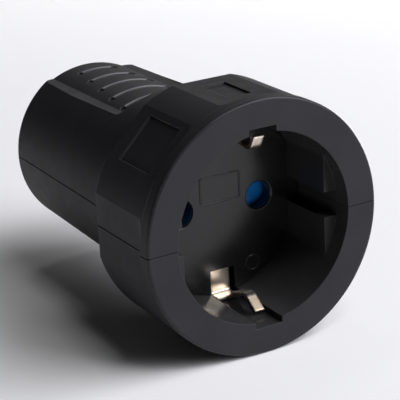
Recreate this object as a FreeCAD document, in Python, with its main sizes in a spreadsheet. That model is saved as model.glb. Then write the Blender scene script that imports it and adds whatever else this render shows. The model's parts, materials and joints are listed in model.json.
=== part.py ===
import FreeCAD, Part
import math
import operator
import os

import Sketcher
from FreeCAD import Placement, Rotation, Vector

# Rewirable inline socket for an earthed two-pin plug, in millimetres.
# X runs along the line of the two pin holes, Y from the mating face to the cord inlet, Z up.
# The origin is the centre of the mating face, and the two half shells part on the plane Z = 0.

doc = FreeCAD.newDocument("inline_socket")
sheet = doc.addObject("Spreadsheet::Sheet", "Sizes")


# Sizes

class Size:
    """A number together with the sheet expression that gives it."""

    def __init__(self, text, value):
        self.text = text
        self.value = value

    def __add__(self, other):
        return joined(self, "+", other)

    def __radd__(self, other):
        return joined(other, "+", self)

    def __sub__(self, other):
        return joined(self, "-", other)

    def __rsub__(self, other):
        return joined(other, "-", self)

    def __mul__(self, other):
        return joined(self, "*", other)

    def __rmul__(self, other):
        return joined(other, "*", self)

    def __truediv__(self, other):
        return joined(self, "/", other)

    def __neg__(self):
        return joined(0, "-", self)


OPERATIONS = {"+": operator.add, "-": operator.sub, "*": operator.mul, "/": operator.truediv}


def sized(value):
    return value if isinstance(value, Size) else Size(repr(value), value)


def joined(left, sign, right):
    left = sized(left)
    right = sized(right)
    return Size("(%s %s %s)" % (left.text, sign, right.text), OPERATIONS[sign](left.value, right.value))


def root(number):
    return Size("sqrt(%s)" % number.text, math.sqrt(number.value))


def cosine(angle):
    angle = sized(angle)
    return Size("cos(%s)" % angle.text, math.cos(math.radians(angle.value)))


def sine(angle):
    angle = sized(angle)
    return Size("sin(%s)" % angle.text, math.sin(math.radians(angle.value)))


def chord(radius, distance):
    """Half the chord that a line at a distance from the centre cuts from a circle."""
    return root(radius * radius - distance * distance)


def size(alias, value):
    """Write one driving dimension into the sheet and hand it back."""
    size.row += 1
    sheet.set("A%d" % size.row, alias)
    sheet.set("B%d" % size.row, str(value))
    sheet.setAlias("B%d" % size.row, alias)
    return Size("Sizes." + alias, value)


size.row = 0

# Outside of the shells
rim_radius = size("rim_radius", 26.7)
rim_length = size("rim_length", 3.0)
rim_edge = size("rim_edge", 0.6)
rim_step = size("rim_step", 0.2)
collar_length = size("collar_length", 23.0)
collar_edge = size("collar_edge", 0.7)
flat_depth = size("flat_depth", 0.9)
flat_blend = size("flat_blend", 2.0)
handle_front_radius = size("handle_front_radius", 20.8)
handle_rear_radius = size("handle_rear_radius", 19.6)
total_length = size("total_length", 74.5)
rear_edge = size("rear_edge", 1.2)
seam_depth = size("seam_depth", 0.2)
seam_height = size("seam_height", 0.1)
inlet_radius = size("inlet_radius", 5.0)

# Bare plates sunk into the collar's flats
plate_depth = size("plate_depth", 0.4)
top_plate_width = size("top_plate_width", 5.4)
top_plate_length = size("top_plate_length", 10.0)
top_plate_start = size("top_plate_start", 8.0)
side_plate_width = size("side_plate_width", 10.6)
side_plate_length = size("side_plate_length", 11.6)
side_plate_start = size("side_plate_start", 6.8)

# Finger grip on the handle
grip_start = size("grip_start", 36.8)
grip_drop = size("grip_drop", 1.45)
grip_rise = size("grip_rise", 2.05)
grip_width = size("grip_width", 23.4)
grip_corner = size("grip_corner", 2.2)
grip_pad_width = size("grip_pad_width", 17.8)
grip_groove_width = size("grip_groove_width", 1.7)
grip_groove_depth = size("grip_groove_depth", 0.8)
grip_groove_slope = size("grip_groove_slope", 0.4)
grip_groove_margin = size("grip_groove_margin", 5.3)
grip_groove_angle = size("grip_groove_angle", 22.8)
grip_groove_step = size("grip_groove_step", 2.7)
grip_pit_gap = size("grip_pit_gap", 0.05)
grip_pit_depth = size("grip_pit_depth", 1.3)
GRIP_GROOVES = 5

# Inside of the shells
recess_radius = size("recess_radius", 19.9)
recess_step = size("recess_step", 0.3)
mouth_length = size("mouth_length", 3.0)
recess_depth = size("recess_depth", 17.4)
recess_wall = size("recess_wall", 1.4)
collar_wall = size("collar_wall", 2.4)
face_wall = size("face_wall", 2.4)
collar_rear_wall = size("collar_rear_wall", 2.6)
rib_angle = size("rib_angle", 16.0)
handle_wall = size("handle_wall", 3.7)
rear_wall = size("rear_wall", 3.0)
key_distance = size("key_distance", 16.7)
key_front = size("key_front", 3.9)
key_groove = size("key_groove", 5.5)
notch_width = size("notch_width", 6.4)
notch_reach = size("notch_reach", 20.9)
peg_radius = size("peg_radius", 1.0)
peg_length = size("peg_length", 3.0)
peg_place = size("peg_place", 11.0)
fit_gap = size("fit_gap", 0.05)

# Screws that join the shells
boss_across = size("boss_across", 12.0)
boss_gap = size("boss_gap", 1.0)
boss_radius = size("boss_radius", 4.0)
boss_height = size("boss_height", 11.5)
shell_screw_radius = size("shell_screw_radius", 1.5)
shell_screw_seat = size("shell_screw_seat", 8.5)
shell_screw_reach = size("shell_screw_reach", 6.5)
shell_head_radius = size("shell_head_radius", 2.7)
shell_head_height = size("shell_head_height", 1.8)
head_gap = size("head_gap", 0.2)

# Contact insert and its shutter
floor_thickness = size("floor_thickness", 3.0)
insert_gap = size("insert_gap", 0.15)
pin_spacing = size("pin_spacing", 19.0)
pin_hole_radius = size("pin_hole_radius", 2.9)
pin_hole_chamfer = size("pin_hole_chamfer", 0.35)
window_width = size("window_width", 6.0)
window_edge = size("window_edge", 14.2)
chamber_depth = size("chamber_depth", 3.8)
pivot_radius = size("pivot_radius", 2.0)
post_distance = size("post_distance", 11.5)
post_angle = size("post_angle", 60.0)
post_radius = size("post_radius", 2.2)
shutter_gap = size("shutter_gap", 0.3)
shutter_thickness = size("shutter_thickness", 3.0)
shutter_hub = size("shutter_hub", 4.0)
shutter_reach = size("shutter_reach", 12.9)
shutter_angle = size("shutter_angle", 20.0)
shutter_arm_width = size("shutter_arm_width", 2.0)
shutter_arm_reach = size("shutter_arm_reach", 7.7)
ramp_low = size("ramp_low", 2.0)
ramp_depth = size("ramp_depth", 2.0)
spring_radius = size("spring_radius", 1.2)
spring_wire = size("spring_wire", 0.4)
spring_pitch = size("spring_pitch", 1.5)
spring_height = size("spring_height", 6.3)
spring_seat = size("spring_seat", 9.6)
spring_seat_width = size("spring_seat_width", 1.6)

# Contact carrier, contacts and terminals
carrier_gap = size("carrier_gap", 0.3)
carrier_length = size("carrier_length", 11.8)
carrier_lip = size("carrier_lip", 1.0)
entry_radius = size("entry_radius", 2.7)
contact_bore = size("contact_bore", 2.35)
contact_wall = size("contact_wall", 0.75)
contact_length = size("contact_length", 12.3)
contact_slit = size("contact_slit", 0.7)
contact_tail_width = size("contact_tail_width", 5.2)
ring_wall = size("ring_wall", 0.4)
ring_width = size("ring_width", 5.0)
ring_start = size("ring_start", 2.0)
ring_opening = size("ring_opening", 3.2)
carrier_screw_radius = size("carrier_screw_radius", 1.0)
carrier_head_radius = size("carrier_head_radius", 2.0)
carrier_head_height = size("carrier_head_height", 1.3)
carrier_screw_bite = size("carrier_screw_bite", 3.0)
tray_drop = size("tray_drop", 3.9)
tray_gap = size("tray_gap", 1.2)
tray_thickness = size("tray_thickness", 2.4)
tray_length = size("tray_length", 11.5)
tray_rib = size("tray_rib", 1.0)
tray_rib_height = size("tray_rib_height", 6.0)
terminal_width = size("terminal_width", 7.0)
terminal_height = size("terminal_height", 7.2)
terminal_length = size("terminal_length", 9.0)
terminal_gap = size("terminal_gap", 0.5)
wire_hole_radius = size("wire_hole_radius", 1.6)
terminal_screw_radius = size("terminal_screw_radius", 1.45)
terminal_screw_length = size("terminal_screw_length", 4.6)
terminal_screw_lift = size("terminal_screw_lift", 1.2)
terminal_head_radius = size("terminal_head_radius", 2.4)
terminal_head_height = size("terminal_head_height", 1.7)

# Earth strip with its two sprung clips
strip_width = size("strip_width", 4.8)
strip_thickness = size("strip_thickness", 0.8)
strip_bend = size("strip_bend", 0.5)
upper_tip_place = size("upper_tip_place", 3.3)
upper_tip_height = size("upper_tip_height", 17.9)
upper_crest_place = size("upper_crest_place", 5.0)
upper_crest_height = size("upper_crest_height", 14.7)
upper_knee_place = size("upper_knee_place", 9.6)
upper_knee_height = size("upper_knee_height", 15.5)
lower_tip_place = size("lower_tip_place", 5.2)
lower_tip_height = size("lower_tip_height", 19.7)
lower_crest_place = size("lower_crest_place", 9.0)
lower_crest_height = size("lower_crest_height", 16.8)
lower_knee_place = size("lower_knee_place", 14.0)
lower_knee_height = size("lower_knee_height", 18.2)
clip_crest_bend = size("clip_crest_bend", 2.2)
clip_knee_bend = size("clip_knee_bend", 1.5)
clip_foot_reach = size("clip_foot_reach", 3.0)
clip_foot_gap = size("clip_foot_gap", 0.2)
clip_plate_depth = size("clip_plate_depth", 1.3)
clip_finger_width = size("clip_finger_width", 2.4)
clip_finger_reach = size("clip_finger_reach", 2.7)
leg_height = size("leg_height", 13.6)
leg_gap = size("leg_gap", 0.3)

# Cord clamp
cord_radius = size("cord_radius", 4.0)
clamp_gap = size("clamp_gap", 1.0)
clamp_length = size("clamp_length", 6.0)
clamp_width = size("clamp_width", 22.0)
clamp_lug_height = size("clamp_lug_height", 3.0)
clamp_wall = size("clamp_wall", 1.6)
saddle_depth = size("saddle_depth", 15.0)
clamp_screw_across = size("clamp_screw_across", 8.3)
clamp_screw_radius = size("clamp_screw_radius", 1.5)
clamp_screw_length = size("clamp_screw_length", 10.5)
clamp_head_radius = size("clamp_head_radius", 2.5)
clamp_head_height = size("clamp_head_height", 1.8)

slot_width = size("slot_width", 0.8)
slot_depth = size("slot_depth", 0.8)

# Places that follow from the sizes
floor_back = recess_depth + floor_thickness
chamber_back = floor_back + chamber_depth
carrier_back = chamber_back + carrier_length
collar_radius = rim_radius - rim_step
flat_distance = collar_radius - flat_depth
well_radius = recess_radius - recess_step
insert_radius = well_radius - insert_gap
handle_bore = handle_rear_radius - handle_wall
grip_top = handle_rear_radius - grip_drop
grip_ledge = grip_top - grip_rise
grip_half = grip_pad_width / 2
grip_crown = (grip_half * grip_half + grip_rise * grip_rise) / (2 * grip_rise)
grip_axis = grip_top - grip_crown
carrier_radius = handle_bore - carrier_gap
tray_half = chord(handle_bore - tray_gap, tray_drop + tray_thickness)
contact_radius = contact_bore + contact_wall
ring_radius = contact_radius + fit_gap + ring_wall
pocket_radius = ring_radius + fit_gap
pin_across = pin_spacing / 2
post_x = post_distance * cosine(post_angle)
post_z = post_distance * sine(post_angle)
beyond = rim_radius + rim_edge
clip_plate_front = recess_depth + clip_plate_depth
clip_foot_height = notch_reach - clip_foot_gap - strip_thickness
leg_inner = leg_height - strip_thickness
bridge_back = carrier_back + strip_thickness
contact_front = chamber_back + carrier_lip
contact_back = contact_front + contact_length
tray_back = carrier_back + tray_length
boss_place = tray_back + boss_gap + boss_radius
clamp_place = total_length - rear_wall - clamp_gap - clamp_length
clamp_middle = clamp_place + clamp_length / 2
grip_groove_pitch = (total_length - grip_start - 2 * grip_groove_margin) / (GRIP_GROOVES - 1)
groove_half = grip_groove_width / 2
groove_floor = grip_crown - grip_groove_depth
groove_lip = grip_crown - grip_groove_slope
pit_radius = groove_half + grip_pit_gap
peg_across = (well_radius + recess_wall + collar_radius - collar_wall) / 2

doc.recompute()


# Drawing helpers

def bind(item, field, value):
    value = sized(value)
    item.setExpression(field, value.text)


def sketch_on(body, name, plane_role, offset=None):
    """A sketch on one of the body's own origin planes, moved along the plane's normal."""
    sketch = body.newObject("Sketcher::SketchObject", name)
    plane = next(f for f in body.Origin.OriginFeatures if f.Role == plane_role)
    sketch.AttachmentSupport = [(plane, "")]
    sketch.MapMode = "FlatFace"
    if offset is not None:
        bind(sketch, "AttachmentOffset.Base.z", offset)
    return sketch


def across(body, name, place):
    """A sketch square to the socket's axis: its x is X and its y is Z."""
    return sketch_on(body, name, "XZ_Plane", -sized(place))


def hold(sketch, kind, axis, geometry, point, value):
    """Hold one coordinate of a point, on the axis itself where it is zero."""
    value = sized(value)
    if abs(value.value) < 1e-9:
        sketch.addConstraint(Sketcher.Constraint("PointOnObject", geometry, point, axis))
        return
    number = sketch.addConstraint(Sketcher.Constraint(kind, -1, 1, geometry, point, value.value))
    bind(sketch, "Constraints[%d]" % number, value)


def hold_point(sketch, geometry, point, place):
    hold(sketch, "DistanceX", -2, geometry, point, place[0])
    hold(sketch, "DistanceY", -1, geometry, point, place[1])


def hold_radius(sketch, geometry, radius):
    number = sketch.addConstraint(Sketcher.Constraint("Radius", geometry, radius.value))
    bind(sketch, "Constraints[%d]" % number, radius)


def flat_vector(place):
    return Vector(sized(place[0]).value, sized(place[1]).value, 0)


def circle(sketch, place, radius):
    radius = sized(radius)
    curve = Part.Circle(flat_vector(place), Vector(0, 0, 1), radius.value)
    geometry = sketch.addGeometry(curve, False)
    hold_point(sketch, geometry, 3, place)
    hold_radius(sketch, geometry, radius)


def arc_between(start, end, radius, turns_left):
    """The short arc from start to end, with its centre on the left or right of the way."""
    way = end - start
    half = way.Length / 2
    side = Vector(-way.y, way.x, 0).normalize() * (1 if turns_left else -1)
    centre = (start + end) * 0.5 + side * math.sqrt(max(radius * radius - half * half, 0))
    first, last = (start, end) if turns_left else (end, start)
    angles = [math.atan2(p.y - centre.y, p.x - centre.x) for p in (first, last)]
    if angles[1] < angles[0]:
        angles[1] += 2 * math.pi
    return Part.ArcOfCircle(Part.Circle(centre, Vector(0, 0, 1), radius), angles[0], angles[1])


def outline(sketch, places, arcs=None):
    """Close an outline through the places. arcs gives a side's (radius, turns left)."""
    arcs = arcs or {}
    count = len(places)
    starts = []
    ends = []
    for i in range(count):
        start = flat_vector(places[i])
        end = flat_vector(places[(i + 1) % count])
        if i in arcs:
            radius, turns_left = arcs[i]
            geometry = sketch.addGeometry(arc_between(start, end, radius.value, turns_left), False)
            starts.append((geometry, 1 if turns_left else 2))
            ends.append((geometry, 2 if turns_left else 1))
        else:
            geometry = sketch.addGeometry(Part.LineSegment(start, end), False)
            starts.append((geometry, 1))
            ends.append((geometry, 2))
    for i in range(count):
        sketch.addConstraint(Sketcher.Constraint("Coincident", *ends[i - 1], *starts[i]))
        hold_point(sketch, *starts[i], places[i])
    for i, (radius, _) in arcs.items():
        hold_radius(sketch, starts[i][0], radius)


def rectangle(sketch, left, right, low, high):
    outline(sketch, [(left, low), (right, low), (right, high), (left, high)])


def extrude(body, kind, sketch, length, other_way=False, both_ways=False):
    feature = body.newObject("PartDesign::" + kind, sketch.Name + "_" + kind.lower())
    feature.Profile = sketch
    feature.Reversed = other_way
    feature.SideType = "Symmetric" if both_ways else "One side"
    bind(feature, "Length", length)
    return feature


def pad_back(body, sketch, length):
    """Raise a sketch that lies square to the axis towards the cord inlet."""
    return extrude(body, "Pad", sketch, length, other_way=True)


def cut_back(body, sketch, length):
    """Cut a sketch that lies square to the axis towards the cord inlet."""
    return extrude(body, "Pocket", sketch, length)


def turn(body, kind, sketch, axis, angle, other_way=False, both_ways=False):
    feature = body.newObject("PartDesign::" + kind, sketch.Name + "_" + kind.lower())
    feature.Profile = sketch
    feature.ReferenceAxis = (sketch, [axis])
    feature.Reversed = other_way
    feature.Midplane = both_ways
    bind(feature, "Angle", angle)
    return feature


def new_body(label):
    body = doc.addObject("PartDesign::Body", label)
    body.Label = label
    return body


def place_at(item, x, y, z, rotation=None):
    item.Placement = Placement(Vector(0, 0, 0), rotation or Rotation())
    for letter, value in zip("xyz", (x, y, z)):
        bind(item, "Placement.Base." + letter, value)


def group(label, items):
    compound = doc.addObject("Part::Compound", label)
    compound.Label = label
    compound.Links = items
    return compound


# Half shells

def shell_wall(body, upper):
    sketch = sketch_on(body, body.Label + "_wall", "XY_Plane")
    outline(sketch, [
        (recess_radius, 0),
        (rim_radius - rim_edge, 0),
        (rim_radius, rim_edge),
        (rim_radius, rim_length),
        (collar_radius, rim_length),
        (collar_radius, collar_length - collar_edge),
        (collar_radius - collar_edge, collar_length),
        (handle_front_radius, collar_length),
        (handle_rear_radius, total_length - rear_edge),
        (handle_rear_radius - rear_edge, total_length),
        (inlet_radius, total_length),
        (inlet_radius, total_length - rear_wall),
        (handle_bore, total_length - rear_wall),
        (handle_bore, floor_back),
        (well_radius, floor_back),
        (well_radius, recess_depth),
        (recess_radius, mouth_length),
    ], {1: (rim_edge, True), 5: (collar_edge, True), 8: (rear_edge, True)})
    turn(body, "Revolution", sketch, "V_Axis", 180, other_way=upper)


def plate_cut(body, name, angle, width, start, length):
    """Sink a bare plate into one of the collar's flats, which faces out at an angle."""
    out = (cosine(angle), sine(angle))
    along = (-sine(angle), cosine(angle))
    low = flat_distance - plate_depth
    corners = [(low, -width / 2), (beyond, -width / 2), (beyond, width / 2), (low, width / 2)]
    sketch = across(body, name, start)
    outline(sketch, [(d * out[0] + w * along[0], d * out[1] + w * along[1]) for d, w in corners])
    cut_back(body, sketch, length)


def shell_flats(body, angles):
    """Plane off the collar behind its rim, with a hollow blend in front and a round edge behind."""
    rise = flat_blend - (rim_radius - flat_distance)
    blend_end = rim_length + chord(flat_blend, rise)
    for angle in angles:
        sketch = sketch_on(body, "%s_flat_%d" % (body.Label, angle), "XY_Plane")
        sketch.AttachmentOffset = Placement(Vector(0, 0, 0), Rotation(Vector(0, 1, 0), -angle))
        outline(sketch, [
            (beyond, collar_length),
            (beyond, rim_length),
            (rim_radius, rim_length),
            (flat_distance, blend_end),
            (flat_distance, collar_length - collar_edge),
            (flat_distance - collar_edge, collar_length),
        ], {2: (flat_blend, False), 4: (collar_edge, True)})
        extrude(body, "Pocket", sketch, 2 * chord(beyond, flat_distance), both_ways=True)


def shell_keys(body, up):
    """Two flat guides in the recess, with a groove between those of the two shells."""
    outer = well_radius + recess_wall / 2
    for side in (-1, 1):
        sketch = across(body, "%s_key_%s" % (body.Label, "right" if side > 0 else "left"), key_front)
        high = chord(outer, key_distance)
        rectangle(sketch, side * key_distance, side * outer, up * key_groove / 2, up * high)
        pad_back(body, sketch, recess_depth - key_front)


def shell_voids(body, up):
    """Hollows between the recess wall and the collar, with ribs left at the seam and the clip."""
    inner = well_radius + recess_wall
    outer = collar_radius - collar_wall
    low = rib_angle
    high = 90 - rib_angle
    for side in (-1, 1):
        sketch = across(body, "%s_void_%s" % (body.Label, "right" if side > 0 else "left"), face_wall)
        places = [(side * r * cosine(a), up * r * sine(a))
                  for r, a in ((inner, low), (outer, low), (outer, high), (inner, high))]
        turns_left = side * up > 0
        outline(sketch, places, {1: (outer, turns_left), 3: (inner, not turns_left)})
        cut_back(body, sketch, collar_length - collar_rear_wall - face_wall)


def shell_notch(body, up):
    sketch = across(body, body.Label + "_notch", 0)
    rectangle(sketch, -notch_width / 2, notch_width / 2, up * window_edge, up * notch_reach)
    cut_back(body, sketch, floor_back)


def upright_circles(body, name, height, half_across, place, radius):
    """A pair of circles, left and right of the axis, drawn on a level plane."""
    sketch = sketch_on(body, name, "XY_Plane", height)
    for side in (-1, 1):
        circle(sketch, (side * half_across, place), radius)
    return sketch


def shell_bosses(body, upper):
    sketch = upright_circles(body, body.Label + "_boss", 0, boss_across, boss_place, boss_radius)
    extrude(body, "Pad", sketch, boss_height, other_way=not upper)


def finger_grip(body):
    """A lowered pad with a level ledge each side and grooves across it that end in round pits."""
    half = grip_width / 2
    inner = half - grip_corner
    turned = grip_start + grip_corner
    back = total_length + grip_corner
    ledge = sketch_on(body, "grip_ledge", "XY_Plane", grip_ledge)
    outline(ledge, [
        (half, back),
        (-half, back),
        (-half, turned),
        (-inner, grip_start),
        (inner, grip_start),
        (half, turned),
    ], {2: (grip_corner, True), 4: (grip_corner, True)})
    extrude(body, "Pocket", ledge, beyond - grip_ledge, other_way=True)
    pad = across(body, "grip_pad", grip_start)
    outline(pad, [(-grip_half, grip_ledge), (grip_half, grip_ledge)], {1: (grip_crown, True)})
    pad_back(body, pad, total_length - grip_start)
    for number in range(GRIP_GROOVES):
        middle = grip_start + grip_groove_margin + number * grip_groove_pitch
        low = middle - groove_half
        high = middle + groove_half
        end = grip_groove_angle - number * grip_groove_step
        groove = sketch_on(body, "grip_groove_%d" % (number + 1), "YZ_Plane")
        bind(groove, "AttachmentOffset.Base.y", grip_axis)
        outline(groove, [
            (low, beyond),
            (low, grip_crown),
            (low + grip_groove_slope, groove_lip),
            (low + grip_groove_slope, groove_floor),
            (high - grip_groove_slope, groove_floor),
            (high - grip_groove_slope, groove_lip),
            (high, grip_crown),
            (high, beyond),
        ])
        turn(body, "Groove", groove, "H_Axis", 2 * end, both_ways=True)
        pit_floor = grip_axis + grip_crown * cosine(end) - grip_pit_depth
        pits = upright_circles(body, "grip_pits_%d" % (number + 1), pit_floor, grip_crown * sine(end), middle,
                               pit_radius)
        extrude(body, "Pocket", pits, beyond - pit_floor, other_way=True)


def seam_line(body, upper):
    """A fine rebate round the outside of the parting plane, which shows as a line between the shells."""
    inside = [
        (recess_radius + seam_depth, seam_depth),
        (rim_radius - rim_edge, seam_depth),
        (rim_radius - seam_depth, rim_edge),
        (rim_radius - seam_depth, rim_length),
        (flat_distance - seam_depth, rim_length),
        (flat_distance - seam_depth, collar_length - collar_edge),
        (flat_distance - collar_edge, collar_length - seam_depth),
        (handle_front_radius - seam_depth, collar_length - seam_depth),
        (handle_rear_radius - seam_depth, total_length - rear_edge),
        (handle_rear_radius - rear_edge, total_length - seam_depth),
        (inlet_radius + rear_edge, total_length - seam_depth),
    ]
    outside = [
        (inlet_radius + rear_edge, total_length + seam_depth),
        (beyond, total_length + seam_depth),
        (beyond, -seam_depth),
        (recess_radius + seam_depth, -seam_depth),
    ]
    for side in (-1, 1):
        name = "%s_seam_%s" % (body.Label, "right" if side > 0 else "left")
        sketch = sketch_on(body, name, "XY_Plane")
        outline(sketch, [(side * x, y) for x, y in inside + outside])
        extrude(body, "Pocket", sketch, seam_height, other_way=upper)


def upper_shell():
    body = new_body("upper_shell")
    shell_wall(body, upper=True)
    shell_keys(body, 1)
    shell_voids(body, 1)
    shell_notch(body, 1)
    shell_bosses(body, upper=True)
    shell_flats(body, (0, 45, 90, 135, 180))
    plate_cut(body, "top_plate", 90, top_plate_width, top_plate_start, top_plate_length)
    plate_cut(body, "side_plate", 135, side_plate_width, side_plate_start, side_plate_length)
    finger_grip(body)
    pilot = upright_circles(body, "shell_pilot", 0, boss_across, boss_place, shell_screw_radius + fit_gap)
    extrude(body, "Pocket", pilot, shell_screw_reach + head_gap, other_way=True)
    pegs = upright_circles(body, "pegs", 0, peg_across, peg_place, peg_radius)
    extrude(body, "Pad", pegs, peg_length, other_way=True)
    seam_line(body, upper=True)
    return body


def lower_shell():
    body = new_body("lower_shell")
    shell_wall(body, upper=False)
    shell_keys(body, -1)
    shell_voids(body, -1)
    shell_notch(body, -1)
    shell_bosses(body, upper=False)
    shell_flats(body, (180, 270, 360))
    clear = upright_circles(body, "shell_clear", 0, boss_across, boss_place, shell_screw_radius + fit_gap)
    extrude(body, "Pocket", clear, shell_screw_seat)
    heads = upright_circles(body, "shell_heads", -shell_screw_seat, boss_across, boss_place,
                            shell_head_radius + head_gap)
    extrude(body, "Pocket", heads, beyond - shell_screw_seat)
    holes = upright_circles(body, "peg_holes", 0, peg_across, peg_place, peg_radius + fit_gap)
    extrude(body, "Pocket", holes, peg_length + head_gap)
    saddle = across(body, "saddle", clamp_place)
    rectangle(saddle, -clamp_width / 2, clamp_width / 2, -saddle_depth, 0)
    pad_back(body, saddle, clamp_length)
    channel = across(body, "saddle_channel", clamp_place)
    circle(channel, (0, 0), cord_radius)
    cut_back(body, channel, clamp_length)
    threads = upright_circles(body, "clamp_threads", 0, clamp_screw_across, clamp_middle,
                              clamp_screw_radius + fit_gap)
    extrude(body, "Pocket", threads, clamp_screw_length - clamp_lug_height + head_gap)
    seam_line(body, upper=False)
    return body


# Contact insert and shutter

def circle_edges(feature, radius, place):
    """Names of the feature's full circles of a radius at a place along the axis."""
    names = []
    for number, edge in enumerate(feature.Shape.Edges, 1):
        curve = edge.Curve
        if isinstance(curve, Part.Circle) and abs(curve.Radius - radius.value) < 1e-6:
            if abs(curve.Center.y - place.value) < 1e-6:
                names.append("Edge%d" % number)
    return names


def socket_insert():
    body = new_body("socket_insert")
    disc = across(body, "insert_disc", recess_depth)
    circle(disc, (0, 0), insert_radius)
    pad_back(body, disc, floor_thickness)
    posts = across(body, "insert_posts", floor_back)
    circle(posts, (0, 0), pivot_radius)
    circle(posts, (post_x, post_z), post_radius)
    circle(posts, (-post_x, -post_z), post_radius)
    rectangle(posts, spring_seat, spring_seat + spring_seat_width, spring_height - spring_radius,
              spring_height + spring_radius)
    pad_back(body, posts, chamber_depth)
    threads = across(body, "insert_threads", chamber_back)
    for side in (-1, 1):
        circle(threads, (side * post_x, side * post_z), carrier_screw_radius + fit_gap)
    extrude(body, "Pocket", threads, carrier_screw_bite + head_gap, other_way=True)
    leg_half = strip_width / 2 + leg_gap
    for up in (-1, 1):
        name = "top" if up > 0 else "bottom"
        window = across(body, "insert_window_" + name, recess_depth)
        rectangle(window, -window_width / 2, window_width / 2, up * window_edge, up * beyond)
        cut_back(body, window, floor_thickness)
        leg = across(body, "insert_leg_" + name, clip_plate_front - leg_gap)
        rectangle(leg, -leg_half, leg_half, up * (leg_inner - leg_gap), up * beyond)
        cut_back(body, leg, floor_back - clip_plate_front + leg_gap)
    holes = across(body, "insert_holes", recess_depth)
    for side in (-1, 1):
        circle(holes, (side * pin_across, 0), pin_hole_radius)
    drilled = cut_back(body, holes, floor_thickness)
    doc.recompute()
    chamfer = body.newObject("PartDesign::Chamfer", "insert_chamfer")
    chamfer.Base = (drilled, circle_edges(drilled, pin_hole_radius, recess_depth))
    bind(chamfer, "Size", pin_hole_chamfer)
    return body


def shutter():
    """A sprung rotor whose two ramped wings close the pin holes."""
    body = new_body("shutter")
    front = floor_back + shutter_gap
    hub = across(body, "shutter_hub", front)
    circle(hub, (0, 0), shutter_hub)
    pad_back(body, hub, shutter_thickness)
    for side in (-1, 1):
        name = "right" if side > 0 else "left"
        wing = across(body, "shutter_wing_" + name, front)
        reach_x = side * shutter_reach * cosine(shutter_angle)
        reach_z = side * shutter_reach * sine(shutter_angle)
        outline(wing, [(0, 0), (reach_x, -reach_z), (reach_x, reach_z)], {1: (shutter_reach, True)})
        pad_back(body, wing, shutter_thickness)
    arm = across(body, "shutter_arm", front)
    rectangle(arm, -shutter_arm_width / 2, shutter_arm_width / 2, 0, shutter_arm_reach)
    pad_back(body, arm, shutter_thickness)
    for side in (-1, 1):
        name = "right" if side > 0 else "left"
        ramp = sketch_on(body, "shutter_ramp_" + name, "YZ_Plane", side * shutter_hub)
        top = side * shutter_reach * sine(shutter_angle)
        outline(ramp, [(front, -side * ramp_low), (front, top), (front + ramp_depth, top)])
        extrude(body, "Pocket", ramp, shutter_reach, other_way=side > 0)
    hole = across(body, "shutter_hole", front)
    circle(hole, (0, 0), pivot_radius + fit_gap)
    cut_back(body, hole, shutter_thickness)
    return body


def shutter_spring():
    """Compression spring that lies along X between the shutter's arm and its seat."""
    item = doc.addObject("Part::Feature", "shutter_spring")
    wire = spring_wire.value / 2
    middle = spring_radius.value - wire
    start = shutter_arm_width.value / 2 + wire
    length = spring_seat.value - wire - start
    path = Part.makeHelix(spring_pitch.value, length, middle)
    corners = [Vector(middle + wire * math.cos(k * math.pi / 3), 0, wire * math.sin(k * math.pi / 3))
               for k in range(6)]
    section = Part.makePolygon(corners + corners[:1])
    item.Shape = Part.Wire(path.Edges).makePipeShell([section], True, True)
    across_axis = (floor_back + shutter_gap + shutter_thickness / 2).value
    item.Placement = Placement(Vector(start, across_axis, spring_height.value), Rotation(Vector(0, 1, 0), 90))
    return item


# Contact carrier, contacts and terminals

def contact_carrier():
    body = new_body("contact_carrier")
    block = across(body, "carrier_block", chamber_back)
    circle(block, (0, 0), carrier_radius)
    pad_back(body, block, carrier_length)
    tray = across(body, "carrier_tray", carrier_back)
    rectangle(tray, -tray_half, tray_half, -tray_drop - tray_thickness, -tray_drop)
    pad_back(body, tray, tray_length)
    rib_middle = pin_across / 2
    for side in (-1, 1):
        name = "right" if side > 0 else "left"
        rib = across(body, "carrier_rib_" + name, carrier_back)
        rectangle(rib, side * rib_middle - tray_rib / 2, side * rib_middle + tray_rib / 2,
                  -tray_drop - tray_thickness / 2, tray_rib_height - tray_drop)
        pad_back(body, rib, tray_length)
        pocket = across(body, "carrier_pocket_" + name, contact_front)
        circle(pocket, (side * pin_across, 0), pocket_radius)
        cut_back(body, pocket, carrier_back - contact_front)
        entry = across(body, "carrier_entry_" + name, chamber_back)
        circle(entry, (side * pin_across, 0), entry_radius)
        cut_back(body, entry, carrier_lip)
        leg = across(body, "carrier_leg_" + name, chamber_back)
        leg_half = strip_width / 2 + leg_gap
        rectangle(leg, -leg_half, leg_half, side * (leg_inner - strip_bend), side * beyond)
        cut_back(body, leg, carrier_length)
    screws = across(body, "carrier_screw_holes", chamber_back)
    for side in (-1, 1):
        circle(screws, (side * post_x, side * post_z), carrier_screw_radius + fit_gap)
    cut_back(body, screws, carrier_length)
    bridge = across(body, "carrier_bridge_slot", carrier_back)
    rectangle(bridge, -strip_width / 2 - leg_gap, strip_width / 2 + leg_gap,
              -tray_drop - tray_thickness - leg_gap, -tray_drop + leg_gap)
    cut_back(body, bridge, strip_thickness)
    return body


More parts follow.
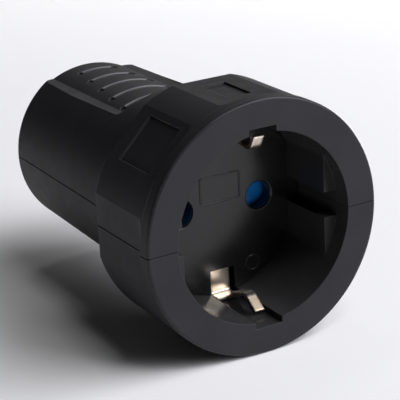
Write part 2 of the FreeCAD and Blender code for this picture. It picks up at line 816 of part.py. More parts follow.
def contact(label, side):
    """Slit sleeve that grips a pin, with a flat tail under its terminal."""
    body = new_body(label)
    sleeve = across(body, label + "_sleeve", contact_front)
    circle(sleeve, (side * pin_across, 0), contact_radius)
    circle(sleeve, (side * pin_across, 0), contact_bore)
    pad_back(body, sleeve, contact_length)
    tail = across(body, label + "_tail", carrier_back)
    rectangle(tail, side * pin_across - contact_tail_width / 2, side * pin_across + contact_tail_width / 2,
              -tray_drop, -tray_drop + 2 * contact_wall)
    pad_back(body, tail, contact_back - carrier_back + terminal_gap + terminal_length)
    bore = across(body, label + "_bore", contact_front)
    circle(bore, (side * pin_across, 0), contact_bore)
    cut_back(body, bore, contact_length)
    slit = across(body, label + "_slit", contact_front)
    rectangle(slit, side * pin_across - contact_slit / 2, side * pin_across + contact_slit / 2, 0,
              contact_radius + contact_slit)
    cut_back(body, slit, carrier_back - contact_front)
    return body


def contact_ring(label, side):
    """Open steel ring that presses the sleeve's two halves together."""
    body = new_body(label)
    start = contact_front + ring_start
    ring = across(body, label + "_ring", start)
    circle(ring, (side * pin_across, 0), ring_radius)
    circle(ring, (side * pin_across, 0), contact_radius + fit_gap)
    pad_back(body, ring, ring_width)
    opening = across(body, label + "_opening", start)
    rectangle(opening, side * pin_across - ring_opening / 2, side * pin_across + ring_opening / 2, 0,
              ring_radius + ring_wall)
    cut_back(body, opening, ring_width)
    return body


def terminal(label, middle, start, low):
    """Brass block with a hole for the wire and a threaded hole for its screw."""
    body = new_body(label)
    high = low + terminal_height
    block = across(body, label + "_block", start)
    rectangle(block, middle - terminal_width / 2, middle + terminal_width / 2, low, high)
    pad_back(body, block, terminal_length)
    wire = across(body, label + "_wire", start)
    circle(wire, (middle, low + terminal_height / 2), wire_hole_radius)
    cut_back(body, wire, terminal_length)
    thread = sketch_on(body, label + "_thread", "XY_Plane", high)
    circle(thread, (middle, start + terminal_length / 2), terminal_screw_radius + fit_gap)
    extrude(body, "Pocket", thread, terminal_height / 2)
    return body


# Screws

def screw(label, thread_radius, length, head_radius, head_height):
    """Slotted cheese-head screw with its seat at its own origin and its head upwards."""
    body = new_body(label)
    profile = sketch_on(body, label + "_profile", "XZ_Plane")
    outline(profile, [(0, -length), (thread_radius, -length), (thread_radius, 0), (head_radius, 0),
                      (head_radius, head_height), (0, head_height)])
    turn(body, "Revolution", profile, "V_Axis", 360)
    slot = sketch_on(body, label + "_slot", "XY_Plane", head_height)
    rectangle(slot, -slot_width / 2, slot_width / 2, -head_radius, head_radius)
    extrude(body, "Pocket", slot, slot_depth)
    return body


def shell_screws():
    screws = []
    for side in (-1, 1):
        item = screw("shell_screw_%s" % ("right" if side > 0 else "left"), shell_screw_radius,
                     shell_screw_seat + shell_screw_reach, shell_head_radius, shell_head_height)
        place_at(item, side * boss_across, boss_place, -shell_screw_seat, Rotation(Vector(1, 0, 0), 180))
        screws.append(item)
    return group("shell_screws", screws)


def clamp_screws():
    screws = []
    for side in (-1, 1):
        item = screw("clamp_screw_%s" % ("right" if side > 0 else "left"), clamp_screw_radius,
                     clamp_screw_length, clamp_head_radius, clamp_head_height)
        place_at(item, side * clamp_screw_across, clamp_middle, clamp_lug_height)
        screws.append(item)
    return group("clamp_screws", screws)


def carrier_screws():
    screws = []
    for side in (-1, 1):
        item = screw("carrier_screw_%s" % ("right" if side > 0 else "left"), carrier_screw_radius,
                     carrier_length + carrier_screw_bite, carrier_head_radius, carrier_head_height)
        place_at(item, side * post_x, carrier_back, side * post_z, Rotation(Vector(1, 0, 0), -90))
        screws.append(item)
    return group("carrier_screws", screws)


def terminal_screw(label, middle, start, low):
    item = screw(label, terminal_screw_radius, terminal_screw_length, terminal_head_radius,
                 terminal_head_height)
    place_at(item, middle, start + terminal_length / 2, low + terminal_height + terminal_screw_lift)
    return item


# Earth strip and cord clamp

def rounded_path(corners, radii):
    """Straight runs through the corners, joined by tangent arcs of the given radii."""
    edges = []
    start = corners[0]
    for before, corner, after, radius in zip(corners, corners[1:], corners[2:], radii):
        into = (corner - before).normalize()
        out = (after - corner).normalize()
        angle = into.getAngle(out)
        reach = radius * math.tan(angle / 2)
        first = corner - into * reach
        last = corner + out * reach
        middle = corner + (out - into).normalize() * (radius / math.cos(angle / 2) - radius)
        edges.append(Part.LineSegment(start, first).toShape())
        edges.append(Part.Arc(first, middle, last).toShape())
        start = last
    edges.append(Part.LineSegment(start, corners[-1]).toShape())
    return Part.Wire(edges)


def clip_corners(up, tip, crest, knee):
    """Corners of one clip and its leg, along the face that looks at the socket's axis."""
    corners = [
        tip,
        crest,
        knee,
        (clip_plate_front - clip_foot_reach, clip_foot_height),
        (clip_plate_front, clip_foot_height),
        (clip_plate_front, leg_inner),
        (carrier_back, leg_inner),
    ]
    return [Vector(0, place.value, up * height.value) for place, height in corners]


def earth_strip():
    """One stamped strip, joined behind the carrier, whose two ends are narrow sprung fingers."""
    item = doc.addObject("Part::Feature", "earth_strip")
    thickness = strip_thickness.value
    upper = clip_corners(1, (upper_tip_place, upper_tip_height), (upper_crest_place, upper_crest_height),
                         (upper_knee_place, upper_knee_height))
    lower = clip_corners(-1, (lower_tip_place, lower_tip_height), (lower_crest_place, lower_crest_height),
                         (lower_knee_place, lower_knee_height))
    bends = [clip_crest_bend.value, clip_knee_bend.value, 2 * thickness, strip_bend.value,
             strip_bend.value + thickness, strip_bend.value]
    path = rounded_path(upper + lower[::-1], bends + bends[::-1])
    side = path.makeOffset2D(-thickness, 0, True, True, False)
    width = strip_width.value
    side.translate(Vector(-width / 2, 0, 0))
    strip = side.extrude(Vector(width, 0, 0))
    cut_width = (strip_width - clip_finger_width).value
    cut_height = 2 * beyond.value
    cut_back_end = (clip_plate_front - clip_finger_reach).value
    corner = Vector(-width / 2, 0, -cut_height / 2)
    item.Shape = strip.cut(Part.makeBox(cut_width, cut_back_end, cut_height, corner))
    return item


def cord_clamp():
    """Bridge that holds the cord down in the lower shell's saddle."""
    body = new_body("cord_clamp")
    arch = cord_radius + clamp_wall
    foot = chord(arch, clamp_lug_height)
    bridge = across(body, "clamp_bridge", clamp_place)
    outline(bridge, [
        (-clamp_width / 2, 0),
        (clamp_width / 2, 0),
        (clamp_width / 2, clamp_lug_height),
        (foot, clamp_lug_height),
        (-foot, clamp_lug_height),
        (-clamp_width / 2, clamp_lug_height),
    ], {3: (arch, True)})
    pad_back(body, bridge, clamp_length)
    channel = across(body, "clamp_channel", clamp_place)
    circle(channel, (0, 0), cord_radius)
    cut_back(body, channel, clamp_length)
    holes = upright_circles(body, "clamp_holes", clamp_lug_height, clamp_screw_across, clamp_middle,
                            clamp_screw_radius + fit_gap)
    extrude(body, "Pocket", holes, clamp_lug_height)
    return body


# Build

pole_start = contact_back + terminal_gap
pole_low = -tray_drop + 2 * contact_wall

nodes = [
    upper_shell(),
    lower_shell(),
    socket_insert(),
    shutter(),
    shutter_spring(),
    contact_carrier(),
    contact("line_contact", 1),
    contact("neutral_contact", -1),
    contact_ring("line_contact_ring", 1),
    contact_ring("neutral_contact_ring", -1),
    terminal("line_terminal", pin_across, pole_start, pole_low),
    terminal("neutral_terminal", -pin_across, pole_start, pole_low),
    terminal("earth_terminal", sized(0), bridge_back, -tray_drop),
    terminal_screw("line_terminal_screw", pin_across, pole_start, pole_low),
    terminal_screw("neutral_terminal_screw", -pin_across, pole_start, pole_low),
    terminal_screw("earth_terminal_screw", sized(0), bridge_back, -tray_drop),
    earth_strip(),
    cord_clamp(),
    clamp_screws(),
    carrier_screws(),
    shell_screws(),
]

doc.recompute()

for item in doc.Objects:
    if "Invalid" in item.State or "Error" in item.State:
        raise RuntimeError("%s did not build: %s" % (item.Label, item.State))

for node in nodes:
    if node.Shape.isNull() or not node.Shape.isValid() or not node.Shape.Solids:
        raise RuntimeError("%s has no valid solid" % node.Label)

os.makedirs("parts", exist_ok=True)
for node in nodes:
    node.Shape.exportStep("parts/%s.step" % node.Label)
    print("%-24s %d solid, %.0f mm3" % (node.Label, len(node.Shape.Solids), node.Shape.Volume))
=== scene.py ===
import json
import math

import bpy
from mathutils import Matrix, Vector


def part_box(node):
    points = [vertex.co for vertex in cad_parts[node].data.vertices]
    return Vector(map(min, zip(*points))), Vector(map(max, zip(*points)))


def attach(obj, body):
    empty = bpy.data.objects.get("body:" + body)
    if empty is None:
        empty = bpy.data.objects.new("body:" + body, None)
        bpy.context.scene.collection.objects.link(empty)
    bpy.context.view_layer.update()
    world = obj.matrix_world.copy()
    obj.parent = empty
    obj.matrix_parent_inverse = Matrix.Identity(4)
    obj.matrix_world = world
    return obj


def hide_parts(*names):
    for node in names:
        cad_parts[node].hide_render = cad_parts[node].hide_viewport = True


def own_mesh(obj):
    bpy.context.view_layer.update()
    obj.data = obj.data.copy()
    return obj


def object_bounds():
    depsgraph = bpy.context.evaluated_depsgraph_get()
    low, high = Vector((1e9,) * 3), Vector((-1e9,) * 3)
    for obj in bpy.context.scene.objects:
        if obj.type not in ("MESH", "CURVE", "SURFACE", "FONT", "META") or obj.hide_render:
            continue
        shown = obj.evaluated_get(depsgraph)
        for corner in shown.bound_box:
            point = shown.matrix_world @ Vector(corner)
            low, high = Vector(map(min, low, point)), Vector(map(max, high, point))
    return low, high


# Looks of a black inline socket, in metres, in the frame of its solids.
# The mating face lies at Y = 0 and looks along -Y, and the handle runs along +Y.

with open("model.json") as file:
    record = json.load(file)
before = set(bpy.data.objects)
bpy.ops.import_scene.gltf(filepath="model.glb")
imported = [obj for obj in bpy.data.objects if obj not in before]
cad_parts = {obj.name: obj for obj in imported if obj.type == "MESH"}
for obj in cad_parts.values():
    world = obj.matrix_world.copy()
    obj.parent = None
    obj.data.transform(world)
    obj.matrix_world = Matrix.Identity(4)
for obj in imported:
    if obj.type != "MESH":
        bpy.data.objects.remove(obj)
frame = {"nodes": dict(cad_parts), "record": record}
cad_low, cad_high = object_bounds()

scene = bpy.context.scene
scene.view_settings.view_transform = "Standard"

MM = 0.001


# Camera, as in the photograph

CAMERA_AZIMUTH = math.radians(29.91)
CAMERA_ELEVATION = math.radians(20.0)
CAMERA_ROLL = math.radians(-2.83)
CAMERA_DISTANCE = 0.3097
CAMERA_LENS = 141.75
SENSOR_WIDTH = 36
AIM_RIGHT = -0.01298
AIM_UP = 0.0057


def make_camera():
    """Camera before the mating face, on its -X side and above it, level but for a small roll."""
    a = CAMERA_AZIMUTH
    e = CAMERA_ELEVATION
    level_right = Vector((math.cos(a), -math.sin(a), 0))
    back = Vector((-math.sin(a) * math.cos(e), -math.cos(a) * math.cos(e), math.sin(e)))
    level_up = back.cross(level_right)
    right = math.cos(CAMERA_ROLL) * level_right + math.sin(CAMERA_ROLL) * level_up
    up = back.cross(right)
    data = bpy.data.cameras.new("camera")
    data.lens = CAMERA_LENS
    data.sensor_width = SENSOR_WIDTH
    camera = bpy.data.objects.new("camera", data)
    scene.collection.objects.link(camera)
    place = right * AIM_RIGHT + up * AIM_UP + back * CAMERA_DISTANCE
    camera.matrix_world = Matrix.Translation(place) @ Matrix((right, up, back)).transposed().to_4x4()
    scene.camera = camera


# Node helpers

# Most of a noise lies between these two values.
NOISE_LOW = 0.3
NOISE_HIGH = 0.7


class Nodes:
    """Short way to add and join shader nodes in one material."""

    def __init__(self, name):
        self.material = bpy.data.materials.new(name)
        self.material.use_nodes = True
        self.tree = self.material.node_tree
        self.shader = self.tree.nodes["Principled BSDF"]

    def add(self, kind, inputs=None, **fields):
        """Add a node with its fields set and its sockets filled."""
        node = self.tree.nodes.new(kind)
        for name, value in fields.items():
            setattr(node, name, value)
        for name, value in (inputs or {}).items():
            self.put(value, node.inputs[name])
        return node

    def put(self, value, socket):
        """Join a node's output to a socket, or set the socket to a plain value."""
        if isinstance(value, bpy.types.NodeSocket):
            self.tree.links.new(value, socket)
        else:
            socket.default_value = value

    def set(self, **inputs):
        """Fill sockets of the shader, named with _ in place of a space."""
        for name, value in inputs.items():
            self.put(value, self.shader.inputs[name.replace("_", " ")])

    def place(self):
        """Place on the part, which is in the shared frame because a solid's object sits at the origin."""
        return self.add("ShaderNodeTexCoord").outputs["Object"]

    def axes(self, vector):
        """A vector's X, Y and Z."""
        return self.add("ShaderNodeSeparateXYZ", {"Vector": vector}).outputs

    def plain_normal(self):
        return self.add("ShaderNodeNewGeometry").outputs["Normal"]

    def rounded_normal(self, radius, samples):
        """Normal of a surface whose sharp edges are rounded to a radius."""
        return self.add("ShaderNodeBevel", {"Radius": radius}, samples=samples).outputs["Normal"]

    def maths(self, operation, *values, kind="ShaderNodeMath"):
        return self.add(kind, dict(enumerate(values)), operation=operation).outputs["Value"]

    def vector_maths(self, operation, *values):
        return self.maths(operation, *values, kind="ShaderNodeVectorMath")

    def times(self, first, second):
        return self.maths("MULTIPLY", first, second)

    def most(self, first, second):
        return self.maths("MAXIMUM", first, second)

    def noise(self, scale, detail, vector=None):
        inputs = {"Vector": vector or self.place(), "Scale": scale, "Detail": detail}
        return self.add("ShaderNodeTexNoise", inputs).outputs["Fac"]

    def spread(self, value, low, high, from_low=NOISE_LOW, from_high=NOISE_HIGH):
        """Map a span of a value to the span from low to high, and hold it at the ends."""
        inputs = {"Value": value, "From Min": from_low, "From Max": from_high, "To Min": low, "To Max": high}
        return self.add("ShaderNodeMapRange", inputs).outputs["Result"]

    def rise(self, value, start, end):
        """Zero before start and one after end."""
        return self.spread(value, 0, 1, start, end)

    def fall(self, value, start, end):
        """One before start and zero after end."""
        return self.spread(value, 1, 0, start, end)

    def between(self, share, first, second):
        """A number that goes from first to second as the share goes from zero to one."""
        return self.spread(share, first, second, 0, 1)

    def mixed(self, share, first, second):
        """A colour that goes from first to second as the share goes from zero to one."""
        inputs = {"Fac": share, "Color1": first, "Color2": second}
        return self.add("ShaderNodeMixRGB", inputs).outputs["Color"]

    def tones(self, noise, dark, light):
        """A colour that drifts with a noise."""
        node = self.add("ShaderNodeValToRGB", {"Fac": noise})
        stops = [(NOISE_LOW, dark), (NOISE_HIGH, light)]
        for element, (position, colour) in zip(node.color_ramp.elements, stops):
            element.position = position
            element.color = (*colour, 1)
        return node.outputs["Color"]

    def bump(self, height, strength, distance, normal):
        inputs = {"Height": height, "Strength": strength, "Distance": distance, "Normal": normal}
        return self.add("ShaderNodeBump", inputs).outputs["Normal"]


# Where the wear, the polish, the painted highlights, the painted light in the recess and the painted shade
# lie, as masks from zero to one

MASK_BLEND = 0.25 * MM

# Edges get a lighter colour, partly as wear and partly as painted highlight.
WEAR_AND_HIGHLIGHT_WIDTH = 0.13 * MM
WEAR_AND_HIGHLIGHT_SAMPLES = 6
WEAR_AND_HIGHLIGHT_FULL = 0.93
WEAR_AND_HIGHLIGHT_NONE = 0.995

SEAM_WIDTH = 0.35 * MM

# The grip's groove lips are lightened as a painted highlight.
GRIP_FRONT = 36.8 * MM
CROWN_RADIUS = 20.34 * MM
CROWN_AXIS = -2.19 * MM
LIP_LINE = 0.22 * MM
LIP_BLEND = 0.1 * MM
LIP_SLOPE_LOW = 0.4
LIP_SLOPE_HIGH = 0.6

RECESS_EDGE = 21.0 * MM
RECESS_BACK = 20.4 * MM

RIM_START = 26.1 * MM
RIM_EDGE = 0.6 * MM
RIM_WEAR = 0.8

# Depths of the lower clip's front run whose colour is darkened as painted shade.
RUN_SHADE_START = 5.0 * MM
RUN_SHADE_END = 7.6 * MM
RUN_SHADE_BLEND = 1.6 * MM


def axis_distance(n, place, height):
    """Distance from a line along Y at a height."""
    above = n.maths("SUBTRACT", place["Z"], height)
    level = n.add("ShaderNodeCombineXYZ", {"X": place["X"], "Z": above}).outputs["Vector"]
    return n.vector_maths("LENGTH", level)


def wear_and_highlight_edges(n):
    """One along a solid's edges, where its normal and the rounded normal part; the edges it marks get a
    lighter colour as wear and painted highlight.
    """
    rounded = n.rounded_normal(WEAR_AND_HIGHLIGHT_WIDTH, WEAR_AND_HIGHLIGHT_SAMPLES)
    match = n.vector_maths("DOT_PRODUCT", rounded, n.plain_normal())
    return n.fall(match, WEAR_AND_HIGHLIGHT_FULL, WEAR_AND_HIGHLIGHT_NONE)


def away_from_seam(n):
    """One on the shells, and zero beside the seam between them."""
    from_seam = n.maths("ABSOLUTE", n.axes(n.place())["Z"])
    return n.rise(from_seam, SEAM_WIDTH, 2 * SEAM_WIDTH)


def groove_lip_highlight(n):
    """One on the upper edge of the groove lips that face the front, where a painted highlight lightens them.
    """
    place = n.axes(n.place())
    lip_low = CROWN_RADIUS - LIP_LINE
    on_grip = n.rise(place["Y"], GRIP_FRONT, GRIP_FRONT + MASK_BLEND)
    on_line = n.rise(axis_distance(n, place, CROWN_AXIS), lip_low - LIP_BLEND, lip_low)
    facing = n.axes(n.plain_normal())
    to_front = n.fall(facing["Y"], -LIP_SLOPE_HIGH, -LIP_SLOPE_LOW)
    to_top = n.rise(facing["Z"], LIP_SLOPE_LOW, LIP_SLOPE_HIGH)
    return n.times(n.times(on_grip, on_line), n.times(to_front, to_top))


def recess_mask(n, front):
    """One inside the recess from a depth on, and zero on the rest of the shells."""
    place = n.axes(n.place())
    near_axis = n.fall(axis_distance(n, place, 0), RECESS_EDGE, RECESS_EDGE + MASK_BLEND)
    behind_front = n.rise(place["Y"], front, front + MASK_BLEND)
    before_floor = n.fall(place["Y"], RECESS_BACK, RECESS_BACK + MASK_BLEND)
    return n.times(near_axis, n.times(behind_front, before_floor))


def rim_mask(n):
    """Share of wear on the rounded outer edge of the rim, which hands rub smooth."""
    place = n.axes(n.place())
    outside = n.rise(axis_distance(n, place, 0), RIM_START - MASK_BLEND, RIM_START)
    at_front = n.spread(place["Y"], RIM_WEAR, 0, RIM_EDGE, RIM_EDGE + MASK_BLEND)
    return n.times(outside, at_front)


def painted_run_shade(n):
    """One over the depth of the lower clip's front run, whose colour is darkened there as painted shade."""
    depth = n.axes(n.place())["Y"]
    behind_start = n.rise(depth, RUN_SHADE_START - MASK_BLEND, RUN_SHADE_START)
    return n.times(behind_start, n.fall(depth, RUN_SHADE_END, RUN_SHADE_END + RUN_SHADE_BLEND))


# Materials, with each noise as its scale and detail

TONE_NOISE = (90, 3)
GLOSS_NOISE = (260, 4)
GRAIN_NOISE = (5200, 1)
GRAIN_HEIGHT = 0.03 * MM
EDGE_RADIUS = 0.22 * MM
EDGE_SAMPLES = 6
WEAR_ROUGHNESS = 0.2

SHELL_DARK = (0.0225, 0.0221, 0.0244)
SHELL_LIGHT = (0.0275, 0.0271, 0.0297)
# Lighter colour of the edges and groove lips: part wear, part painted highlight.
SHELL_WEAR_AND_HIGHLIGHT = (0.11, 0.109, 0.113, 1)
SHELL_ROUGHNESS = (0.44, 0.52)
SHELL_GRAIN = 0.25
SHELL_SHINE = 0.15

# Inside the recess the colour is set lighter than the shell outside, as painted light on the recess walls;
# the lower roughness and grain there are its real polish.
RECESS_PAINTED_LIGHT_LOW = (0.027, 0.027, 0.0278)
RECESS_PAINTED_LIGHT_HIGH = (0.034, 0.034, 0.035)
POLISHED_ROUGHNESS = (0.16, 0.22)
POLISHED_GRAIN = SHELL_GRAIN / 4
# Share of the edges' wear and painted highlight kept inside the recess.
RECESS_WEAR_AND_HIGHLIGHT = 0.25

DRAWN_NOISE = (9000, 3)
DRAWN_STRETCH = (1.0, 0.06, 0.06)
DRAWN_STRENGTH = 0.05
DRAWN_HEIGHT = 0.02 * MM
PLATE_NOISE = (180, 2)
PLATE_DARK = (0.68, 0.60, 0.50)
PLATE_LIGHT = (0.82, 0.74, 0.64)
PLATE_ROUGHNESS = (0.27, 0.37)
# Darker colour of the lower clip's front run: painted shade.
RUN_SHADE_DARK = (0.27, 0.22, 0.16)
RUN_SHADE_LIGHT = (0.34, 0.28, 0.21)
STRIP_ROUND = 0.7 * MM
STRIP_SAMPLES = 8

METAL_NOISE = (400, 3)
METAL_GLOSS_NOISE = (1500, 3)
METAL_ROUGHNESS = (0.25, 0.45)


def finish_plastic(n, colour, roughness, grain):
    """A moulded finish with rounded edges and a fine grain."""
    rounded = n.rounded_normal(EDGE_RADIUS, EDGE_SAMPLES)
    grained = n.bump(n.noise(*GRAIN_NOISE), grain, GRAIN_HEIGHT, rounded)
    n.set(Base_Color=colour, Roughness=roughness, Normal=grained)
    return n.material


def moulded_plastic(name, dark, light, roughness, grain, worn_and_highlight=None):
    """Plastic with slow drifts of tone and gloss, and with edges lightened as wear and painted highlight
    where it has a colour for them.
    """
    n = Nodes(name)
    colour = n.tones(n.noise(*TONE_NOISE), dark, light)
    dullness = n.spread(n.noise(*GLOSS_NOISE), *roughness)
    if worn_and_highlight:
        edges = wear_and_highlight_edges(n)
        colour = n.mixed(edges, colour, worn_and_highlight)
        dullness = n.between(edges, dullness, WEAR_ROUGHNESS)
    return finish_plastic(n, colour, dullness, grain)


def shell_plastic():
    """Satin plastic, lighter inside the recess as painted light and polished there, with edges lightened as
    wear and painted highlight, groove lips lightened as painted highlight, and a rim rubbed glossy.
    """
    n = Nodes("shell")
    tone = n.noise(*TONE_NOISE)
    gloss = n.noise(*GLOSS_NOISE)
    inside = recess_mask(n, 0)
    # Inside the recess a lighter colour is painted light on its walls, and the gloss is real.
    satin = n.tones(tone, SHELL_DARK, SHELL_LIGHT)
    recess_painted_light = n.tones(tone, RECESS_PAINTED_LIGHT_LOW, RECESS_PAINTED_LIGHT_HIGH)
    dullness = n.between(inside, n.spread(gloss, *SHELL_ROUGHNESS), n.spread(gloss, *POLISHED_ROUGHNESS))
    grain = n.between(inside, SHELL_GRAIN, POLISHED_GRAIN)
    # Edges are lightened as wear and painted highlight, the groove lips as painted highlight, and less of it
    # inside the recess.
    edges = n.most(n.times(wear_and_highlight_edges(n), away_from_seam(n)), groove_lip_highlight(n))
    edges = n.times(edges, n.between(recess_mask(n, -MASK_BLEND), 1, RECESS_WEAR_AND_HIGHLIGHT))
    colour = n.mixed(edges, n.mixed(inside, satin, recess_painted_light), SHELL_WEAR_AND_HIGHLIGHT)
    dullness = n.between(n.most(edges, rim_mask(n)), dullness, WEAR_ROUGHNESS)
    n.set(Specular_IOR_Level=SHELL_SHINE)
    return finish_plastic(n, colour, dullness, grain)


def plated_strip():
    """Bright nickel plate with a warm cast and fine drawn lines, darkened on the lower clip's front run as
    painted shade.
    """
    n = Nodes("plated_strip")
    stretched = n.add("ShaderNodeMapping", {"Vector": n.place(), "Scale": DRAWN_STRETCH}).outputs["Vector"]
    lines = n.noise(*DRAWN_NOISE, vector=stretched)
    tone = n.noise(*PLATE_NOISE)
    plate = n.tones(tone, PLATE_DARK, PLATE_LIGHT)
    run_shade = n.tones(tone, RUN_SHADE_DARK, RUN_SHADE_LIGHT)
    rounded = n.rounded_normal(STRIP_ROUND, STRIP_SAMPLES)
    n.set(Metallic=1.0)
    # The lower clip's front run gets a darker colour as painted shade.
    n.set(Base_Color=n.mixed(painted_run_shade(n), plate, run_shade))
    n.set(Roughness=n.spread(lines, *PLATE_ROUGHNESS))
    n.set(Normal=n.bump(lines, DRAWN_STRENGTH, DRAWN_HEIGHT, rounded))
    return n.material


def turned_metal(name, dark, light):
    """Metal with small drifts of tone and gloss."""
    n = Nodes(name)
    n.set(Metallic=1.0)
    n.set(Base_Color=n.tones(n.noise(*METAL_NOISE), dark, light))
    n.set(Roughness=n.spread(n.noise(*METAL_GLOSS_NOISE), *METAL_ROUGHNESS))
    return n.material


MATERIALS = {
    "shell": shell_plastic(),
    # The insert's lighter edge colour, on its hole rims among others, is part wear and part painted
    # highlight.
    "insert": moulded_plastic("insert", dark=(0.007, 0.007, 0.0072), light=(0.01, 0.01, 0.0102),
                              roughness=(0.2, 0.26), grain=0.08, worn_and_highlight=(0.11, 0.11, 0.112, 1)),
    "shutter": moulded_plastic("shutter", dark=(0.004, 0.25, 0.84), light=(0.007, 0.31, 0.94),
                               roughness=(0.3, 0.4), grain=0.1),
    "carrier": moulded_plastic("carrier", dark=(0.02, 0.02, 0.021), light=(0.03, 0.03, 0.031),
                               roughness=(0.4, 0.5), grain=0.2),
    "brass": turned_metal("brass", dark=(0.62, 0.42, 0.17), light=(0.80, 0.60, 0.30)),
    "steel": turned_metal("steel", dark=(0.50, 0.49, 0.47), light=(0.66, 0.65, 0.62)),
    "plated_strip": plated_strip(),
}


# Finish of the solids

SMOOTH_ANGLE = math.radians(30)


def finish_node(name, slot):
    """Give a solid its material, with smooth curves and crisp edges."""
    node = frame["nodes"][name]
    node.data.materials.clear()
    node.data.materials.append(MATERIALS[slot])
    node.data.shade_smooth()
    crisp = node.modifiers.new("crisp", "EDGE_SPLIT")
    crisp.split_angle = SMOOTH_ANGLE


for part in frame["record"]["subparts"]:
    finish_node(part["node"], part["material_slot"])


# Mesh helpers

def mesh_object(name, points, faces, material):
    """A mesh of its own in the scene."""
    mesh = bpy.data.meshes.new(name)
    mesh.from_pydata(points, [], faces)
    mesh.materials.append(material)
    item = bpy.data.objects.new(name, mesh)
    scene.collection.objects.link(item)
    return item


def band(first, second, count):
    """Faces between two closed loops of points, each given by the number of its first point."""
    faces = []
    for k in range(count):
        after = (k + 1) % count
        faces.append((first + k, first + after, second + after, second + k))
    return faces


# Bare mouldings on the floor of the recess

RECESS_DEPTH = 17.4 * MM
MOULDING_RISE = 0.14 * MM
MOULDING_SINK = 0.05 * MM
MOULDING_ROUND = 0.05 * MM
ROUND_STEPS = 2
CORNER_STEPS = 6
CIRCLE_STEPS = 48
FRAME_LEFT = -4.7 * MM
FRAME_RIGHT = 5.0 * MM
FRAME_LOW = 0.6 * MM
FRAME_HIGH = 6.6 * MM
FRAME_CORNER = 0.6 * MM
MARK_X = 7.3 * MM
MARK_Z = -14.6 * MM
MARK_RADIUS = 1.8 * MM
LINE_WIDTH = 0.35 * MM


def rounded_rectangle(left, right, low, high, radius):
    """Points round a rectangle in X and Z whose corners are quarter circles."""
    centres = [(right - radius, high - radius), (left + radius, high - radius),
               (left + radius, low + radius), (right - radius, low + radius)]
    points = []
    for corner, (x, z) in enumerate(centres):
        for step in range(CORNER_STEPS + 1):
            angle = math.pi / 2 * (corner + step / CORNER_STEPS)
            points.append((x + radius * math.cos(angle), z + radius * math.sin(angle)))
    return points


def ring(x, z, radius):
    """Points round a circle in X and Z."""
    angles = [2 * math.pi * step / CIRCLE_STEPS for step in range(CIRCLE_STEPS)]
    return [(x + radius * math.cos(angle), z + radius * math.sin(angle)) for angle in angles]


def raised_line(name, outer, inner):
    """A closed raised line on the recess floor between two loops of points."""
    count = len(outer)
    front = RECESS_DEPTH - MOULDING_RISE
    back = RECESS_DEPTH + MOULDING_SINK
    loops = [(outer, back), (outer, front), (inner, front), (inner, back)]
    points = [(x, y, z) for loop, y in loops for x, z in loop]
    faces = []
    for level in range(len(loops)):
        faces += band(level * count, (level + 1) % len(loops) * count, count)
    piece = mesh_object(name, points, faces, MATERIALS["insert"])
    edges = piece.modifiers.new("edges", "BEVEL")
    edges.width = MOULDING_ROUND
    edges.segments = ROUND_STEPS
    piece.data.shade_smooth()
    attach(piece, "socket")


def make_mouldings():
    """A rectangle above the middle of the floor and a small ring near its lower edge."""
    raised_line(
        "floor_frame",
        rounded_rectangle(FRAME_LEFT, FRAME_RIGHT, FRAME_LOW, FRAME_HIGH, FRAME_CORNER),
        rounded_rectangle(FRAME_LEFT + LINE_WIDTH, FRAME_RIGHT - LINE_WIDTH, FRAME_LOW + LINE_WIDTH,
                          FRAME_HIGH - LINE_WIDTH, FRAME_CORNER - LINE_WIDTH),
    )
    raised_line(
        "floor_ring",
        ring(MARK_X, MARK_Z, MARK_RADIUS),
        ring(MARK_X, MARK_Z, MARK_RADIUS - LINE_WIDTH),
    )


# Spring behind the shutter

SPRING_WIRE = 0.4 * MM
SPRING_TURNS = 7.5
CLOSED_TURNS = 1.0
TURN_STEPS = 28
WIRE_SIDES = 10


def spring_advance(turn, length):
    """Share of the spring's length at a turn, where the coils at both ends lie closed."""
    closed = CLOSED_TURNS * SPRING_WIRE / length
    if turn <= CLOSED_TURNS:
        return closed * turn / CLOSED_TURNS
    if turn >= SPRING_TURNS - CLOSED_TURNS:
        return 1 - closed * (SPRING_TURNS - turn) / CLOSED_TURNS
    open_turns = SPRING_TURNS - 2 * CLOSED_TURNS
    return closed + (1 - 2 * closed) * (turn - CLOSED_TURNS) / open_turns


def wire_ring(x, y, z, coil, angle):
    """Points round the wire where it has turned by an angle about a line along X."""
    wire = SPRING_WIRE / 2
    points = []
    for side in range(WIRE_SIDES):
        around = 2 * math.pi * side / WIRE_SIDES
        radius = coil + wire * math.cos(around)
        place = (x + wire * math.sin(around), y + radius * math.sin(angle), z + radius * math.cos(angle))
        points.append(place)
    return points


def make_spring():
    """A coil of round wire along X, as long and as wide as its solid, fixed at its seat."""
    spring_low, spring_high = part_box("shutter_spring")
    y = (spring_low.y + spring_high.y) / 2
    z = (spring_low.z + spring_high.z) / 2
    length = spring_high.x - spring_low.x - SPRING_WIRE
    coil = (spring_high.z - spring_low.z - SPRING_WIRE) / 2
    steps = int(SPRING_TURNS * TURN_STEPS)
    points = []
    for step in range(steps + 1):
        turn = step / TURN_STEPS
        x = spring_low.x + SPRING_WIRE / 2 + length * spring_advance(turn, length)
        points += wire_ring(x, y, z, coil, 2 * math.pi * turn)
    last = steps * WIRE_SIDES
    faces = [tuple(reversed(range(WIRE_SIDES))), tuple(range(last, last + WIRE_SIDES))]
    for first in range(0, last, WIRE_SIDES):
        faces += band(first, first + WIRE_SIDES, WIRE_SIDES)
    piece = mesh_object("spring_coil", points, faces, MATERIALS["steel"])
    piece.data.shade_smooth()
    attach(piece, "socket")
    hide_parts("shutter_spring")
    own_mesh(piece)


# Floor and light

FLOOR_SIZE = 8.0
FLOOR_COLOUR = (0.92, 0.92, 0.92, 1)
FLOOR_ROUGHNESS = 0.9

ROOM_COLOUR = (1, 1, 1, 1)
ROOM_LIGHT = 0.02

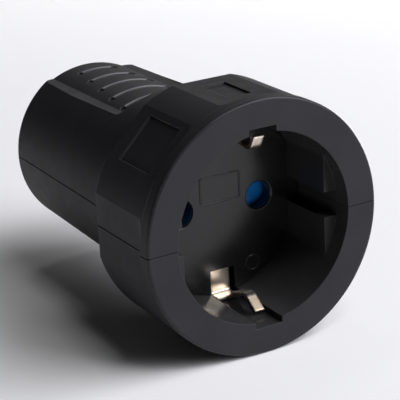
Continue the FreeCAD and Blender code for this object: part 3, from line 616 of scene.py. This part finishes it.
LIGHT_AIM = (0, 0.03, 0)
WHITE = (1.0, 1.0, 1.0)
COOL_WHITE = (0.95, 0.95, 1.0)
WARM_WHITE = (1.0, 0.96, 0.92)
SWEEP_SPREAD = math.radians(60)


def make_floor():
    """A plain pale floor under the lowest point of the part."""
    half = FLOOR_SIZE / 2
    corners = [(-half, -half, 0), (half, -half, 0), (half, half, 0), (-half, half, 0)]
    n = Nodes("floor")
    n.set(Base_Color=FLOOR_COLOUR, Roughness=FLOOR_ROUGHNESS)
    floor = mesh_object("floor", corners, [(0, 1, 2, 3)], n.material)
    floor.location.z = cad_low.z


def make_world():
    """A faint even light from all sides."""
    world = bpy.data.worlds.new("world")
    scene.world = world
    world.use_nodes = True
    background = world.node_tree.nodes["Background"]
    background.inputs["Color"].default_value = ROOM_COLOUR
    background.inputs["Strength"].default_value = ROOM_LIGHT


def area_light(name, place, aim, size, watts, colour):
    """A soft rectangular lamp that looks at a point."""
    data = bpy.data.lights.new(name, "AREA")
    data.shape = "RECTANGLE"
    data.size = size[0]
    data.size_y = size[1]
    data.energy = watts
    data.color = colour
    lamp = bpy.data.objects.new(name, data)
    lamp.location = place
    lamp.rotation_euler = (Vector(aim) - Vector(place)).to_track_quat("-Z", "Y").to_euler()
    scene.collection.objects.link(lamp)
    return data


def make_lights():
    """A large key at the right of the face, small lamps above and behind, and one on the floor behind."""
    area_light("key", place=(0.78, -0.62, 0.75), aim=LIGHT_AIM, size=(1.3, 1.2),
               watts=27, colour=COOL_WHITE)
    area_light("overhead", place=(0.05, -0.48, 1.0), aim=LIGHT_AIM, size=(0.28, 0.28),
               watts=1.7, colour=WHITE)
    area_light("back", place=(0.4, 0.7, 0.25), aim=LIGHT_AIM, size=(0.5, 0.3),
               watts=0.26, colour=WARM_WHITE)
    sweep = area_light("sweep", place=(0.35, 0.6, 0.9), aim=(0.35, 0.6, 0), size=(0.6, 0.6),
                       watts=1.1, colour=WHITE)
    sweep.spread = SWEEP_SPREAD


make_mouldings()
make_spring()
make_camera()
make_floor()
make_world()
make_lights()
